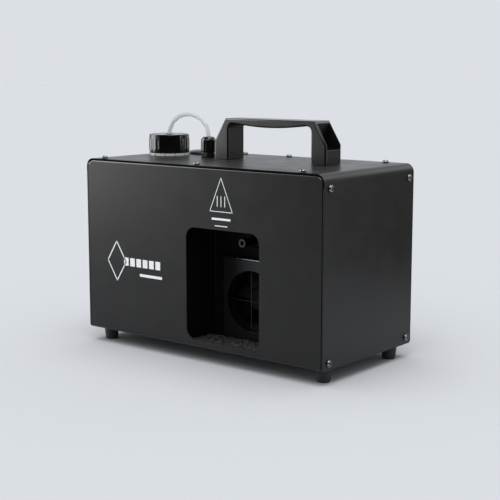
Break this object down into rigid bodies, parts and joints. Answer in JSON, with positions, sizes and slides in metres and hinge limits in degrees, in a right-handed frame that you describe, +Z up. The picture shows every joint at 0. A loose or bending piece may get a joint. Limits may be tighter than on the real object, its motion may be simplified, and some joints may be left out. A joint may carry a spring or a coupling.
{
  "type": "fog machine",
  "caption": "Compact steel-cased haze machine with a window outlet, screw-capped fluid tank, feed hose, fan and carrying handle.",
  "frame": {"origin": "on the surface that the feet stand on, under the middle of the object's width and depth", "axes": "+X to the right seen from the front, +Y from the window to the rear panel, +Z up"},
  "size_m": [0.3304, 0.172, 0.2555],
  "materials": {
    "case_paint": "satin black powder coat with a fine texture",
    "screw_steel": "bright zinc-plated steel",
    "foot_rubber": "matte black rubber",
    "handle_plastic": "fine-grained dark grey moulding",
    "tank_plastic": "milky translucent blow-moulded plastic",
    "neck_plastic": "light grey moulded plastic",
    "cap_plastic": "glossy black moulded plastic",
    "seal_rubber": "smooth black rubber",
    "hose_plastic": "milky translucent tubing",
    "fan_plastic": "black glass-filled moulding",
    "heater_aluminium": "cast and machined aluminium",
    "bracket_steel": "zinc-plated sheet steel",
    "nozzle_brass": "turned and plated brass",
    "pad_foam": "coarse open-cell filter foam",
    "board_laminate": "green solder mask",
    "display_lens": "dark smoked display window",
    "button_plastic": "soft-touch grey plastic",
    "connector_plastic": "black moulded connector plastic",
    "connector_metal": "nickel-plated die casting"
  },
  "bodies": {
    "root": {"front_base_panel": "case_paint", "rear_panel": "case_paint", "top_cover": "case_paint", "top_screw_front_1": "screw_steel", "top_screw_front_2": "screw_steel", "top_screw_front_3": "screw_steel", "top_screw_rear_1": "screw_steel", "top_screw_rear_2": "screw_steel", "top_screw_rear_3": "screw_steel", "top_screw_rear_4": "screw_steel", "top_screw_rear_5": "screw_steel", "side_screw_left_1": "screw_steel", "side_screw_left_2": "screw_steel", "side_screw_left_3": "screw_steel", "side_screw_left_4": "screw_steel", "side_screw_right_1": "screw_steel", "side_screw_right_2": "screw_steel", "side_screw_right_3": "screw_steel", "side_screw_right_4": "screw_steel", "foot_front_left": "foot_rubber", "foot_front_right": "foot_rubber", "foot_rear_left": "foot_rubber", "foot_rear_right": "foot_rubber", "handle": "handle_plastic", "tank": "tank_plastic", "filler_neck": "neck_plastic", "feed_hose": "hose_plastic", "gland_body": "cap_plastic", "gland_nut": "cap_plastic", "gland_locknut": "cap_plastic", "pickup_tube": "hose_plastic", "pump_feed_tube": "hose_plastic", "pump_body": "fan_plastic", "pump_outlet_tube": "hose_plastic", "heater_block": "heater_aluminium", "heater_bracket": "bracket_steel", "nozzle": "nozzle_brass", "fan_frame": "fan_plastic", "fan_plate": "case_paint", "bay_shroud": "case_paint", "drip_pad": "pad_foam", "control_board": "board_laminate", "display_module": "display_lens", "power_inlet": "connector_plastic", "switch_housing": "connector_plastic", "fuse_holder": "connector_plastic", "xlr_out": "connector_metal", "xlr_in": "connector_metal", "blanking_plug": "seal_rubber"},
    "cap_seal": {"cap_liner": "seal_rubber"},
    "cap": {"cap_ring": "cap_plastic"},
    "piston": {"pump_piston": "screw_steel"},
    "fan_wheel": {"fan_rotor": "fan_plastic"},
    "button_1": {"menu_button_1": "button_plastic"},
    "button_2": {"menu_button_2": "button_plastic"},
    "button_3": {"menu_button_3": "button_plastic"},
    "button_4": {"menu_button_4": "button_plastic"},
    "rocker": {"switch_rocker": "connector_plastic"},
    "fuse_carrier": {"fuse_cap": "connector_plastic"},
    "release_tab": {"xlr_latch": "connector_plastic"}
  },
  "joints": [
    {"name": "cap_lift", "type": "slide", "parent": "root", "child": "cap_seal", "axis": [0, 0, 1], "range_m": [0, 0.004]},
    {"name": "cap_turn", "type": "hinge", "parent": "cap_seal", "child": "cap", "pos_m": [-0.123, 0.007, 0.2212], "axis": [0, 0, 1], "range_deg": [0, 360]},
    {"name": "fan_spin", "type": "hinge", "parent": "root", "child": "fan_wheel", "pos_m": [0.035, -0.0175, 0.0615], "axis": [0, 1, 0], "continuous": true},
    {"name": "switch_rock", "type": "hinge", "parent": "root", "child": "rocker", "pos_m": [0.024, 0.0773, 0.062], "axis": [1, 0, 0], "range_deg": [0, 22]},
    {"name": "fuse_turn", "type": "hinge", "parent": "root", "child": "fuse_carrier", "pos_m": [0.066, 0.08, 0.062], "axis": [0, 1, 0], "range_deg": [0, 90]},
    {"name": "button_1_press", "type": "slide", "parent": "root", "child": "button_1", "axis": [0, -1, 0], "range_m": [0, 0.001], "stiffness_N_per_m": 400},
    {"name": "button_2_press", "type": "slide", "parent": "root", "child": "button_2", "axis": [0, -1, 0], "range_m": [0, 0.001], "stiffness_N_per_m": 400},
    {"name": "button_3_press", "type": "slide", "parent": "root", "child": "button_3", "axis": [0, -1, 0], "range_m": [0, 0.001], "stiffness_N_per_m": 400},
    {"name": "button_4_press", "type": "slide", "parent": "root", "child": "button_4", "axis": [0, -1, 0], "range_m": [0, 0.001], "stiffness_N_per_m": 400},
    {"name": "release_press", "type": "slide", "parent": "root", "child": "release_tab", "axis": [0, -1, 0], "range_m": [0, 0.0015], "stiffness_N_per_m": 400},
    {"name": "pump_stroke", "type": "slide", "parent": "root", "child": "piston", "axis": [0, 0, 1], "range_m": [-0.004, 0.004], "stiffness_N_per_m": 2500}
  ],
  "couplings": [
    {"joint": "cap_lift", "follows": "cap_turn", "m_per_rad": 0.000636}
  ]
}
